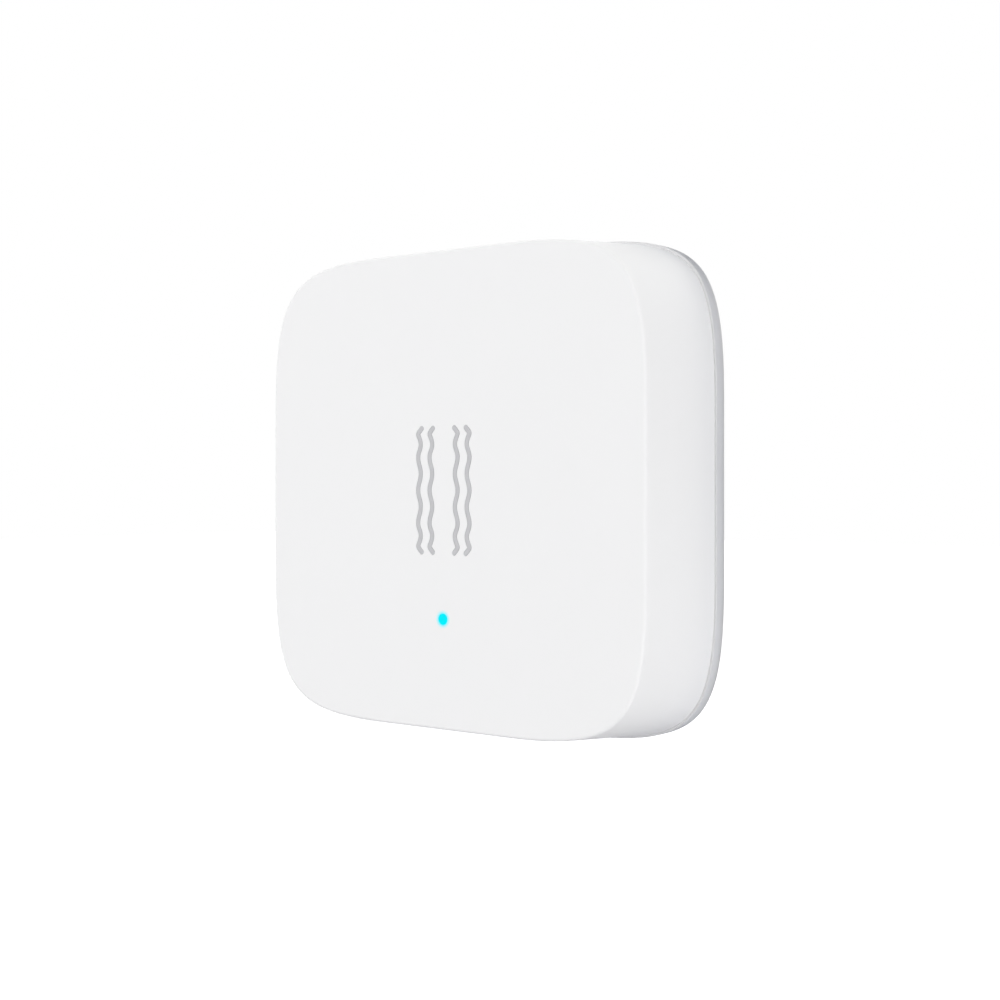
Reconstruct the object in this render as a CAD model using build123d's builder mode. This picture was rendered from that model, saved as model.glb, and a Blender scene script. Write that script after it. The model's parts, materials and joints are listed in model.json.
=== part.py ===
from build123d import *
import os

os.makedirs("parts", exist_ok=True)

# The tag hangs on a wall. The wall is the plane Y = 0, the front looks along -Y, X is to the
# right as seen from the front, and Z is up. A height is a distance from the wall to the front.

# Shell and base plate
plate_width = 46.0  # the widest part of the tag
plate_thickness = 1.4
plate_edge = 0.05
plate_step = 0.2  # how far the plate stands out past the shell
side_lean = 0.715  # how far each side leans in towards the face
face_edge_radius = 0.3
front_wall = 1.5
side_wall = 1.5
rear_corner_share = 0.319  # how far a corner reaches along a side, as a share of the width
face_corner_share = 0.329
corner_pull_share = 0.84  # of a corner's reach: 0.55 would be a quarter circle
lip_height = 0.8  # the rim of the plate that centres the shell
lip_wall = 0.8
fit_gap = 0.1  # between fixed mouldings

# Foam pad between the base plate and the wall
pad_thickness = 1.0
pad_window_gap = 1.4  # from the battery door's rim
pad_band = 4.1  # round the window, where it is narrowest
pad_corner_share = 0.275

# Snap arms, two on each side
arm_width = 4.0
arm_wall = 0.8
arm_height = 3.8
hook_reach = 0.45
hook_height = 1.1
hook_land = 0.3

# Battery door, held by lugs that turn behind a ledge
door_rim = 1.3  # from the plug out
door_flange = 0.8
door_edge = 0.2
door_skin = 1.1
door_wall = 1.0
door_turn = 40.0
door_gap = 0.12
plug_rim = 1.4  # from the well's wall out
lug_count = 3
lug_reach = 0.9
lug_thickness = 0.6
lug_arc = 26.0
notch_spare = 4.0  # degrees
ledge_thickness = 0.6
slip = 0.05  # between flat faces that slide
stop_arc = 6.0
slot_length = 12.0
slot_width = 2.0
slot_depth = 1.3
slot_wall = 1.2
slot_chamfer = 0.15

# Coin cell, 20 mm across and 3.2 mm thick
cell_radius = 10.0
cell_height = 3.2
cell_sheet = 0.25
can_edge = 0.3
can_crimp = 0.75  # how far the can's lip turns in
cap_rise = 0.2  # above the can's lip
cap_inset = 1.15
cap_edge = 0.15
cap_skirt = 0.5  # from the can's floor to the skirt's end
core_gap = 0.35

# Round wall that holds the cell
well_gap = 0.3
well_wall = 0.9
well_height = 2.5
channel_gap = 0.2

# Circuit board
board_gap = 0.85  # from the shell's side walls
board_thickness = 1.0
spring_space = 1.05  # between the cell's cap and the board
component_space = 2.53  # between the board and the face's wall
copper = 0.07

# Screws and pegs that hold the board
screw_radius = 0.8
screw_bite = 1.9  # in the boss
screw_head_radius = 1.5
screw_head_height = 0.8
screw_head_edge = 0.25
cross_length = 1.7
cross_width = 0.35
cross_depth = 0.4
screw_place_shares = ((-0.375, 0.362), (0.375, 0.362), (0.0, -0.43))
boss_radius = 1.9
pilot_spare = 0.1
hole_gap = 0.15
peg_radius = 0.9
peg_tip = 0.5
peg_foot_radius = 1.6
peg_place_shares = ((-0.375, -0.35), (0.375, -0.35))
rib_width = 0.8
rib_height = 0.7

# Cell contacts, bent from sheet
contact_sheet = 0.15
contact_width = 4.0
contact_foot = 2.6
contact_stand_off = 1.5
contact_lift = 0.3  # above the well's shelf
contact_land = 0.8
contact_bend = 0.45
leaf_width = 2.6
leaf_foot = 4.0
leaf_reach = 3.6
leaf_tip = 1.0
leaf_lift = 0.3
touch_gap = 0.02

# Reset button in the left side, and the switch that it works
button_radius = 1.5
button_gap = 0.08
button_travel = 0.3
button_recess = 0.1
button_edge = 0.2
flange_radius = 2.2
flange_thickness = 0.6
seat_radius = 3.2
seat_rise = 0.35
switch_length = 3.5
switch_width = 4.7
switch_height = 1.6
switch_edge = 0.15
cover_sheet = 0.15
cover_hem = 0.3
plunger_width = 1.9
plunger_height = 0.8
plunger_reach = 0.75
plunger_root = 1.0
notch_side_gap = 0.4
notch_end_gap = 0.1
terminal_length = 0.7
terminal_reach = 0.8
terminal_sheet = 0.2
terminal_pitch = 2.1

# Indicator in the lower half of the face
light_drop_share = 0.2694  # of the face's width, below its centre
pipe_tip_radius = 0.5
pipe_radius = 0.95
pipe_flange_radius = 1.4
pipe_flange = 0.5
pipe_gap = 0.03
pipe_air = 0.3
socket_wall = 0.7
socket_height = 1.0
led_length = 1.6
led_width = 0.8
led_base = 0.25
led_lens_length = 1.0
led_lens = 0.35
led_draft = 8.0  # degrees

# Chips on the front of the board
chip_edge = 0.08
pin_mark_radius = 0.25
pin_mark_depth = 0.08
pin_mark_share = 0.36
radio_size = 6.0
radio_height = 0.85
radio_place_shares = (-0.19, 0.14)
memory_length = 4.9
memory_width = 3.9
memory_height = 1.45
memory_stand_off = 0.1
memory_place_shares = (0.2, 0.14)
leg_count = 4  # on each side
leg_pitch = 1.27
leg_width = 0.4
leg_sheet = 0.2
leg_reach = 1.05
leg_bend = 0.1
sensor_size = 2.0
sensor_height = 0.95
crystal_length = 3.2
crystal_width = 2.5
crystal_height = 0.75
crystal_lid_inset = 0.2
crystal_lid_share = 0.35
crystal_place_shares = (-0.2, -0.06)

# Small parts, in rows
passive_length = 1.0
passive_width = 0.5
capacitor_height = 0.5
resistor_height = 0.35
passive_pitch = 1.8
passive_rows = 2
passive_row_pitch = 1.6
capacitor_count = 4
capacitor_place_shares = (0.2, -0.06)
resistor_count = 3
resistor_place_shares = (-0.2, -0.2)

# Antenna, a folded copper track along the board's upper edge
antenna_width = 19.0
antenna_height = 3.2
antenna_track = 0.8
antenna_folds = 5
antenna_edge_gap = 1.2

# Heights of the stack, from the wall to the face, which stands 12.4 from the wall
plate_rear = pad_thickness
plate_front = plate_rear + plate_thickness
ledge_rear = plate_rear + door_flange + slip
ledge_front = ledge_rear + ledge_thickness
lug_rear = ledge_front + slip
door_inside = lug_rear + lug_thickness
shelf_rear = door_inside + 2 * slip
shelf_front = shelf_rear + well_wall
cell_rear = door_inside + slip
cell_front = cell_rear + cell_height
board_rear = cell_front + spring_space
board_front = board_rear + board_thickness
wall_inside = board_front + component_space
face_height = wall_inside + front_wall
button_height = board_rear - switch_height / 2
can_height = cell_height - cap_rise

# Radii, from the cell outwards
cap_radius = cell_radius - cap_inset
crimp_radius = cell_radius - can_crimp
well_radius = cell_radius + well_gap
plug_radius = well_radius + plug_rim
ledge_radius = plug_radius + door_gap
lug_radius = plug_radius + lug_reach
channel_radius = lug_radius + channel_gap
door_radius = plug_radius + door_rim
seat_hole_radius = door_radius + door_gap
window_radius = door_radius + pad_window_gap

# Widths of the outside
plate_corner = rear_corner_share * plate_width
shell_rear_width = plate_width - 2 * plate_step
shell_rear_corner = rear_corner_share * shell_rear_width
face_width = shell_rear_width - 2 * side_lean
face_corner = face_corner_share * face_width
pad_width = 2 * (window_radius + pad_band)


def level(height):
    return Plane.XZ.offset(height)


def lean(height, rear, front):
    # a size of the leaning shell at a height, between its rear edge and the face
    share = (height - plate_front) / (face_height - plate_front)
    return rear + (front - rear) * share


def shell_width(height):
    return lean(height, shell_rear_width, face_width)


def shell_corner(height):
    return lean(height, shell_rear_corner, face_corner)


def place(shares):
    # a point on the board from shares of its width
    return tuple(share * board_width for share in shares)


def outline(width, corner, mode=Mode.ADD):
    # a square with long, even corners
    half = width / 2
    straight = half - corner
    pull = straight + corner_pull_share * corner
    side = ((half, -straight), (half, straight), (half, pull), (pull, half), (straight, half))
    with BuildLine() as edge:
        for turn in range(4):
            a, b, c, d, e = (Vector(*point).rotate(Axis.Z, 90 * turn) for point in side)
            Line(a, b)
            Bezier(b, c, d, e)
    make_face(edge.edges(), mode=mode)


def sector(inner, outer, start, arc):
    # part of a ring, from an angle and over an arc
    with BuildLine() as edge:
        near = CenterArc((0, 0), inner, start, arc)
        far = CenterArc((0, 0), outer, start, arc)
        Line(near @ 0, far @ 0)
        Line(near @ 1, far @ 1)
    make_face(edge.edges())


def save(piece, name):
    piece.part.label = name
    export_step(piece.part, f"parts/{name}.step")


lug_angles = [90 + 360 * lug / lug_count for lug in range(lug_count)]
side_planes = [Plane.XY.rotated((0, 90 * side, 0)) for side in range(4)]
upright_plane = side_planes[-1]  # its X is up
arm_top = plate_front + arm_height
arm_offset = shell_width(arm_top) / 2 - shell_corner(arm_top)  # where the corners begin
arm_starts = [-arm_offset - arm_width / 2, arm_offset - arm_width / 2]
arm_planes = [plane.offset(start) for plane in side_planes for start in arm_starts]
hook_front = arm_top - hook_height + hook_land
arm_outside = shell_width(arm_top) / 2 - side_wall - fit_gap
hook_outside = arm_outside + hook_reach

board_width = shell_width(board_front) - 2 * (side_wall + board_gap)
board_corner = shell_corner(board_front) - side_wall - board_gap
screw_points = [place(shares) for shares in screw_place_shares]
peg_points = [place(shares) for shares in peg_place_shares]
light_point = (0, -light_drop_share * face_width)

button_wall = shell_width(button_height) / 2  # the shell's outside at the button
seat_inside = button_wall - side_wall - seat_rise
flange_outside = seat_inside - slip
button_inside = flange_outside - flange_thickness
plunger_tip = button_inside - slip
switch_front = plunger_tip - plunger_reach
button_end = button_wall - button_recess
button_centre = (-button_height, 0)  # in the plane YZ

# Front shell: a leaning tray with the fittings for the board, the light pipe and the button
with BuildPart() as front_shell:
    with BuildSketch(level(plate_front)):
        outline(shell_rear_width, shell_rear_corner)
    with BuildSketch(level(face_height)):
        outline(face_width, face_corner)
    loft(ruled=True)
    fillet(front_shell.faces().sort_by(Axis.Y)[0].edges(), radius=face_edge_radius)
    for height in (plate_front, wall_inside):
        with BuildSketch(level(height)):
            outline(shell_width(height) - 2 * side_wall, shell_corner(height) - side_wall)
    loft(ruled=True, mode=Mode.SUBTRACT)
    # bosses, pegs and their feet down to the board, and the light pipe's socket
    with BuildSketch(level(board_front)):
        with Locations(*screw_points):
            Circle(boss_radius)
        with Locations(*peg_points):
            Circle(peg_foot_radius)
    extrude(amount=wall_inside - board_front)
    with BuildSketch(level(board_rear - peg_tip)):
        with Locations(*peg_points):
            Circle(peg_radius)
    extrude(amount=wall_inside - board_rear + peg_tip)
    with BuildSketch(level(wall_inside - socket_height)):
        with Locations(light_point):
            Circle(pipe_flange_radius + fit_gap + socket_wall)
    extrude(amount=socket_height)
    # low ribs that stiffen the face between the bosses
    with BuildSketch(level(wall_inside - rib_height)):
        with BuildLine():
            Polyline(screw_points[0], screw_points[1], peg_points[1], peg_points[0], close=True)
        trace(line_width=rib_width)
    extrude(amount=rib_height)
    with BuildSketch(level(wall_inside - socket_height)):
        with Locations(light_point):
            Circle(pipe_flange_radius + fit_gap)
    extrude(amount=socket_height, mode=Mode.SUBTRACT)
    with BuildSketch(level(board_front)):
        with Locations(*screw_points):
            Circle(screw_radius)
    extrude(amount=screw_bite + pilot_spare, mode=Mode.SUBTRACT)
    with BuildSketch(level(wall_inside)):
        with Locations(light_point):
            Circle(pipe_tip_radius + pipe_gap)
    extrude(amount=front_wall, mode=Mode.SUBTRACT)
    # flat seat round the button's hole
    with BuildSketch(Plane.YZ.offset(-seat_inside)):
        with Locations(button_centre):
            Circle(seat_radius)
    extrude(amount=-(seat_rise + side_wall / 2))
    with BuildSketch(Plane.YZ.offset(-seat_inside)):
        with Locations(button_centre):
            Circle(button_radius + button_gap)
    extrude(amount=-(seat_rise + 2 * side_wall), mode=Mode.SUBTRACT)
    # pockets that the snap arms hook into
    for plane in arm_planes:
        with BuildSketch(plane.offset(-fit_gap)):
            with BuildLine():
                Polyline(
                    (arm_outside - fit_gap, -hook_front + hook_height - hook_land + fit_gap),
                    (hook_outside + fit_gap, -hook_front + hook_height - hook_land + fit_gap),
                    (hook_outside + fit_gap, -arm_top - fit_gap),
                    (arm_outside - fit_gap, -arm_top - fit_gap),
                    close=True,
                )
            make_face()
        extrude(amount=arm_width + 2 * fit_gap, mode=Mode.SUBTRACT)
save(front_shell, "front_shell")

# Base plate with the door's seat, the cell's well, the centring lip and the snap arms
with BuildPart() as base_plate:
    with BuildSketch(level(plate_rear)):
        outline(plate_width, plate_corner)
    extrude(amount=plate_thickness)
    chamfer(base_plate.faces().filter_by(Axis.Y).edges(), length=plate_edge)
    with BuildSketch(level(plate_front)):
        lip_outside = shell_width(plate_front + lip_height) - 2 * (side_wall + fit_gap)
        lip_corner = shell_corner(plate_front + lip_height) - side_wall - fit_gap
        outline(lip_outside, lip_corner)
        outline(lip_outside - 2 * lip_wall, lip_corner - lip_wall, mode=Mode.SUBTRACT)
    extrude(amount=lip_height)
    with BuildSketch(level(plate_rear)):
        Circle(seat_hole_radius)
    extrude(amount=plate_thickness, mode=Mode.SUBTRACT)
    with BuildSketch(upright_plane):
        with BuildLine():
            Polyline(
                (ledge_radius, -ledge_rear),
                (ledge_radius, -ledge_front),
                (channel_radius, -ledge_front),
                (channel_radius, -shelf_rear),
                (well_radius, -shelf_rear),
                (well_radius, -shelf_front - well_height),
                (well_radius + well_wall, -shelf_front - well_height),
                (well_radius + well_wall, -shelf_front),
                (channel_radius + well_wall, -shelf_front),
                (channel_radius + well_wall, -ledge_rear),
                close=True,
            )
        make_face()
    revolve(axis=Axis.Y)
    # gaps in the ledge where the lugs go in, and stops at both ends of their travel
    with BuildSketch(level(ledge_rear)):
        for angle in lug_angles:
            notch_arc = lug_arc + notch_spare
            sector(ledge_radius - door_gap, channel_radius, angle - door_turn - notch_arc / 2, notch_arc)
    extrude(amount=ledge_thickness, mode=Mode.SUBTRACT)
    with BuildSketch(level(ledge_rear)):
        for angle in lug_angles:
            closed_stop = angle + (lug_arc + notch_spare) / 2
            open_stop = angle - door_turn - (lug_arc + notch_spare) / 2 - stop_arc
            for start in (closed_stop, open_stop):
                sector(ledge_radius, channel_radius + well_wall / 2, start, stop_arc)
    extrude(amount=shelf_front - ledge_rear)
    # slot in the well's wall for the positive contact
    with BuildSketch(level(shelf_front)):
        with Locations((well_radius + well_wall / 2, 0)):
            Rectangle(2 * well_wall, contact_width + 2 * well_gap)
    extrude(amount=well_height, mode=Mode.SUBTRACT)
    for plane in arm_planes:
        with BuildSketch(plane):
            with BuildLine():
                Polyline(
                    (arm_outside - arm_wall, -plate_front),
                    (arm_outside, -plate_front),
                    (arm_outside, -arm_top + hook_height),
                    (hook_outside, -arm_top + hook_height),
                    (hook_outside, -arm_top + hook_height - hook_land),
                    (arm_outside, -arm_top),
                    (arm_outside - arm_wall, -arm_top),
                    close=True,
                )
            make_face()
        extrude(amount=arm_width)
save(base_plate, "base_plate")

# Foam pad, cut out round the battery door
with BuildPart() as adhesive_pad:
    with BuildSketch(level(0)):
        outline(pad_width, pad_corner_share * pad_width)
        Circle(window_radius, mode=Mode.SUBTRACT)
    extrude(amount=pad_thickness)
save(adhesive_pad, "adhesive_pad")

# Battery door: a flanged plug with a coin slot and lugs
with BuildPart() as battery_door:
    with BuildSketch(level(plate_rear)):
        Circle(door_radius)
    extrude(amount=door_flange)
    chamfer(battery_door.edges().sort_by(Axis.Y)[-1], length=door_edge)
    with BuildSketch(level(plate_rear)):
        Circle(plug_radius)
    extrude(amount=door_inside - plate_rear)
    with BuildSketch(level(lug_rear)):
        for angle in lug_angles:
            sector(plug_radius - door_wall, lug_radius, angle - lug_arc / 2, lug_arc)
    extrude(amount=lug_thickness)
    # hollow inside, apart from a bar that carries the slot
    with BuildSketch(level(plate_rear + door_skin)):
        Circle(plug_radius - door_wall)
        Rectangle(2 * plug_radius, slot_width + 2 * slot_wall, mode=Mode.SUBTRACT)
    extrude(amount=door_inside - plate_rear - door_skin, mode=Mode.SUBTRACT)
    # the slot's floor is part of a coin's rim
    with BuildSketch(Plane.XY.offset(-slot_width / 2)):
        coin_radius = (slot_length * slot_length / 4 + slot_depth * slot_depth) / (2 * slot_depth)
        with Locations((0, coin_radius - slot_depth - plate_rear)):
            Circle(coin_radius)
    extrude(amount=slot_width, mode=Mode.SUBTRACT)
    outside = battery_door.faces().filter_by(Axis.Y).sort_by(Axis.Y)[-1]
    chamfer(outside.inner_wires().edges(), length=slot_chamfer)
save(battery_door, "battery_door")

# Coin cell: can, sealing ring, cap and the discs inside
with BuildPart() as cell_can:
    with BuildSketch(level(cell_rear)):
        Circle(cell_radius)
    extrude(amount=can_height)
    chamfer(cell_can.edges().filter_by(GeomType.CIRCLE), length=can_edge)
    with BuildSketch(level(cell_rear + cell_sheet)):
        Circle(cell_radius - cell_sheet)
    extrude(amount=can_height - 2 * cell_sheet, mode=Mode.SUBTRACT)
    with BuildSketch(level(cell_rear + cell_sheet)):
        Circle(crimp_radius)
    extrude(amount=can_height, mode=Mode.SUBTRACT)
save(cell_can, "cell_can")

with BuildPart() as cell_gasket:
    with BuildSketch(Plane.XY):
        with BuildLine():
            Polyline(
                (cap_radius, -cell_rear - cell_sheet),
                (cell_radius - cell_sheet, -cell_rear - cell_sheet),
                (cell_radius - cell_sheet, -cell_rear - can_height + cell_sheet),
                (crimp_radius, -cell_rear - can_height + cell_sheet),
                (crimp_radius, -cell_rear - can_height),
                (cap_radius, -cell_rear - can_height),
                close=True,
            )
        make_face()
    revolve(axis=Axis.Y)
save(cell_gasket, "cell_gasket")

with BuildPart() as cell_cap:
    with BuildSketch(level(cell_rear + cell_sheet + cap_skirt)):
        Circle(cap_radius)
    extrude(amount=cell_height - cell_sheet - cap_skirt)
    chamfer(cell_cap.edges().sort_by(Axis.Y)[0], length=cap_edge)
    with BuildSketch(level(cell_rear + cell_sheet + cap_skirt)):
        Circle(cap_radius - cell_sheet)
    extrude(amount=cell_height - 2 * cell_sheet - cap_skirt, mode=Mode.SUBTRACT)
save(cell_cap, "cell_cap")

with BuildPart() as cell_core:
    with BuildSketch(level(cell_rear + cell_sheet)):
        Circle(cap_radius - core_gap)
    extrude(amount=cell_height - 2 * cell_sheet)
save(cell_core, "cell_core")

# Circuit board, with a notch that lets the button's flange past
with BuildPart() as circuit_board:
    with BuildSketch(level(board_rear)):
        outline(board_width, board_corner)
        with Locations((-switch_front, 0)):
            notch_width = 2 * (flange_radius + notch_side_gap)
            notch_depth = board_width / 2 - switch_front + notch_end_gap
            Rectangle(notch_depth * 2, notch_width, mode=Mode.SUBTRACT)
        with Locations(*screw_points):
            Circle(screw_radius + hole_gap, mode=Mode.SUBTRACT)
        with Locations(*peg_points):
            Circle(peg_radius + fit_gap, mode=Mode.SUBTRACT)
    extrude(amount=board_thickness)
save(circuit_board, "circuit_board")

with BuildPart() as board_screws:
    with BuildSketch(level(board_rear - screw_head_height)):
        with Locations(*screw_points):
            Circle(screw_head_radius)
    extrude(amount=screw_head_height)
    heads = board_screws.faces().filter_by(Axis.Y).group_by(Axis.Y)[-1]
    chamfer(heads.edges(), length=screw_head_edge)
    with BuildSketch(level(board_rear)):
        with Locations(*screw_points):
            Circle(screw_radius)
    extrude(amount=board_thickness + screw_bite)
    with BuildSketch(level(board_rear - screw_head_height)):
        with Locations(*screw_points):
            Rectangle(cross_length, cross_width)
            Rectangle(cross_width, cross_length)
    extrude(amount=cross_depth, mode=Mode.SUBTRACT)
save(board_screws, "board_screws")

# Positive contact: from its foot on the board down beside the cell, bowed in to the can
with BuildPart() as positive_contact:
    foot_line = -(board_rear - contact_sheet / 2)
    stand = cell_radius + contact_stand_off
    touch = cell_radius + touch_gap + contact_sheet / 2
    bow_top = -cell_front
    bow_end = -shelf_front - contact_lift
    bow_middle = (bow_top + bow_end) / 2
    with BuildSketch(Plane.XY):
        with BuildLine():
            FilletPolyline(
                (stand + contact_foot, foot_line),
                (stand, foot_line),
                (stand, bow_top),
                (touch, bow_middle - contact_land / 2),
                (touch, bow_middle + contact_land / 2),
                (stand, bow_end),
                radius=contact_bend,
            )
        trace(line_width=contact_sheet)
    extrude(amount=contact_width / 2, both=True)
save(positive_contact, "positive_contact")

# Negative contact: two sprung leaves from one foot
with BuildPart() as negative_contact:
    leaf_line = -(cell_front + touch_gap + contact_sheet / 2)
    with BuildSketch(Plane.XY):
        for way in (-1, 1):
            with BuildLine():
                FilletPolyline(
                    (0, foot_line),
                    (way * leaf_foot / 2, foot_line),
                    (way * (leaf_foot / 2 + leaf_reach), leaf_line),
                    (way * (leaf_foot / 2 + leaf_reach + leaf_tip), leaf_line - leaf_lift),
                    radius=contact_bend,
                )
            trace(line_width=contact_sheet)
    extrude(amount=leaf_width / 2, both=True)
save(negative_contact, "negative_contact")

# Reset button: a round key with a flange behind the shell's wall
with BuildPart() as reset_button:
    with BuildSketch(Plane.YZ.offset(-button_inside)):
        with Locations(button_centre):
            Circle(flange_radius)
    extrude(amount=-flange_thickness)
    with BuildSketch(Plane.YZ.offset(-button_inside)):
        with Locations(button_centre):
            Circle(button_radius)
    extrude(amount=-(button_end - button_inside))
    fillet(reset_button.edges().sort_by(Axis.X)[0], radius=button_edge)
save(reset_button, "reset_button")

# Switch on the rear of the board, which the button pushes from the side
with BuildPart() as switch_case:
    with BuildSketch(Plane.YZ.offset(-switch_front)):
        with Locations(button_centre):
            Rectangle(switch_height, switch_width)
    extrude(amount=switch_length)
    chamfer(switch_case.faces().sort_by(Axis.X)[-1].edges(), length=switch_edge)
    with BuildSketch(Plane.YZ.offset(-switch_front)):
        with Locations(button_centre):
            Rectangle(plunger_height + 2 * slip, plunger_width + 2 * slip)
    extrude(amount=plunger_root + button_travel + fit_gap, mode=Mode.SUBTRACT)
save(switch_case, "switch_case")

with BuildPart() as switch_plunger:
    with BuildSketch(Plane.YZ.offset(-plunger_tip)):
        with Locations(button_centre):
            Rectangle(plunger_height, plunger_width)
    extrude(amount=plunger_reach + plunger_root)
    chamfer(switch_plunger.faces().sort_by(Axis.X)[0].edges(), length=slip)
save(switch_plunger, "switch_plunger")

with BuildPart() as switch_cover:
    with BuildSketch(Plane.YZ.offset(-switch_front)):
        with BuildLine():
            hem = -(board_rear - cover_hem)
            back = -(board_rear - switch_height - cover_sheet / 2)
            side = (switch_width + cover_sheet) / 2
            Polyline((hem, -side), (back, -side), (back, side), (hem, side))
        trace(line_width=cover_sheet)
    extrude(amount=switch_length - switch_edge)
save(switch_cover, "switch_cover")

with BuildPart() as switch_terminals:
    with BuildSketch(level(board_rear - terminal_sheet)):
        with Locations((-switch_front + switch_length / 2, 0)):
            with GridLocations(terminal_pitch, switch_width + terminal_reach, 2, 2):
                Rectangle(terminal_length, terminal_reach)
    extrude(amount=terminal_sheet)
save(switch_terminals, "switch_terminals")

# Light pipe from the lamp to the face, pressed in from behind
with BuildPart() as light_pipe:
    pipe_rear = board_front + led_base + led_lens + pipe_air
    with BuildSketch(level(pipe_rear)):
        with Locations(light_point):
            Circle(pipe_radius)
    extrude(amount=wall_inside - pipe_rear)
    with BuildSketch(level(wall_inside - pipe_flange)):
        with Locations(light_point):
            Circle(pipe_flange_radius)
    extrude(amount=pipe_flange)
    with BuildSketch(level(wall_inside)):
        with Locations(light_point):
            Circle(pipe_tip_radius)
    extrude(amount=front_wall)
save(light_pipe, "light_pipe")

with BuildPart() as indicator_led:
    with BuildSketch(level(board_front)):
        with Locations(light_point):
            Rectangle(led_length, led_width)
    extrude(amount=led_base)
    with BuildSketch(level(board_front + led_base)):
        with Locations(light_point):
            Rectangle(led_lens_length, led_width)
    extrude(amount=led_lens, taper=led_draft)
save(indicator_led, "indicator_led")

# Chips: flat blocks with a dimple by the first pin
with BuildPart() as radio_chip:
    with BuildSketch(level(board_front)):
        with Locations(place(radio_place_shares)):
            Rectangle(radio_size, radio_size)
    extrude(amount=radio_height)
    radio_top = radio_chip.faces().sort_by(Axis.Y)[0]
    chamfer(radio_top.edges(), length=chip_edge)
    with BuildSketch(level(board_front + radio_height)):
        with Locations(place(radio_place_shares)):
            with Locations((-pin_mark_share * radio_size, pin_mark_share * radio_size)):
                Circle(pin_mark_radius)
    extrude(amount=-pin_mark_depth, mode=Mode.SUBTRACT)
save(radio_chip, "radio_chip")

with BuildPart() as memory_chip:
    with BuildSketch(level(board_front + memory_stand_off)):
        with Locations(place(memory_place_shares)):
            Rectangle(memory_length, memory_width)
    extrude(amount=memory_height)
    memory_top = memory_chip.faces().sort_by(Axis.Y)[0]
    chamfer(memory_top.edges(), length=chip_edge)
    with BuildSketch(level(board_front + memory_stand_off + memory_height)):
        with Locations(place(memory_place_shares)):
            with Locations((-pin_mark_share * memory_length, -pin_mark_share * memory_width)):
                Circle(pin_mark_radius)
    extrude(amount=-pin_mark_depth, mode=Mode.SUBTRACT)
save(memory_chip, "memory_chip")

with BuildPart() as memory_chip_legs:
    memory_x, memory_z = place(memory_place_shares)
    leg_height = board_front + memory_stand_off + memory_height / 2
    leg_starts = [(row - (leg_count - 1) / 2) * leg_pitch for row in range(leg_count)]
    for start in leg_starts:
        for way in (-1, 1):
            leg_edge = memory_z + way * memory_width / 2
            with BuildSketch(Plane.YZ.offset(memory_x + start - leg_width / 2)):
                with BuildLine():
                    FilletPolyline(
                        (-leg_height, leg_edge),
                        (-leg_height, leg_edge + way * leg_reach / 2),
                        (-board_front - leg_sheet / 2, leg_edge + way * leg_reach / 2),
                        (-board_front - leg_sheet / 2, leg_edge + way * leg_reach),
                        radius=leg_bend + leg_sheet / 2,
                    )
                trace(line_width=leg_sheet)
            extrude(amount=leg_width)
save(memory_chip_legs, "memory_chip_legs")

with BuildPart() as motion_sensor_chip:
    with BuildSketch(level(board_front)):
        Rectangle(sensor_size, sensor_size)
    extrude(amount=sensor_height)
    chamfer(motion_sensor_chip.faces().sort_by(Axis.Y)[0].edges(), length=chip_edge)
    with BuildSketch(level(board_front + sensor_height)):
        with Locations((-pin_mark_share * sensor_size / 2, pin_mark_share * sensor_size / 2)):
            Circle(pin_mark_radius / 2)
    extrude(amount=-pin_mark_depth, mode=Mode.SUBTRACT)
save(motion_sensor_chip, "motion_sensor_chip")

with BuildPart() as crystal:
    with BuildSketch(level(board_front)):
        with Locations(place(crystal_place_shares)):
            RectangleRounded(crystal_length, crystal_width, crystal_lid_inset)
    extrude(amount=crystal_height * (1 - crystal_lid_share))
    with BuildSketch(level(board_front)):
        with Locations(place(crystal_place_shares)):
            lid_length = crystal_length - 2 * crystal_lid_inset
            RectangleRounded(lid_length, crystal_width - 2 * crystal_lid_inset, crystal_lid_inset)
    extrude(amount=crystal_height)
save(crystal, "crystal")

with BuildPart() as chip_capacitors:
    with BuildSketch(level(board_front)):
        with Locations(place(capacitor_place_shares)):
            with GridLocations(passive_pitch, passive_row_pitch, capacitor_count, passive_rows):
                Rectangle(passive_length, passive_width)
    extrude(amount=capacitor_height)
save(chip_capacitors, "chip_capacitors")

with BuildPart() as chip_resistors:
    with BuildSketch(level(board_front)):
        with Locations(place(resistor_place_shares)):
            with GridLocations(passive_pitch, passive_row_pitch, resistor_count, passive_rows):
                Rectangle(passive_length, passive_width)
    extrude(amount=resistor_height)
save(chip_resistors, "chip_resistors")

with BuildPart() as antenna:
    antenna_top = board_width / 2 - antenna_edge_gap - antenna_track / 2
    antenna_foot = antenna_top - antenna_height
    fold = antenna_width / (2 * antenna_folds)
    track = [(-antenna_width / 2, antenna_foot)]
    for step in range(2 * antenna_folds):
        row = antenna_foot if step % 2 else antenna_top
        track.append((track[-1][0], row))
        track.append((track[-1][0] + fold, row))
    with BuildSketch(level(board_front)):
        with BuildLine():
            Polyline(*track)
        trace(line_width=antenna_track)
    extrude(amount=copper)
save(antenna, "antenna")
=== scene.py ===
import json
import math

import bmesh
import bpy
from mathutils import Matrix, Vector


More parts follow.
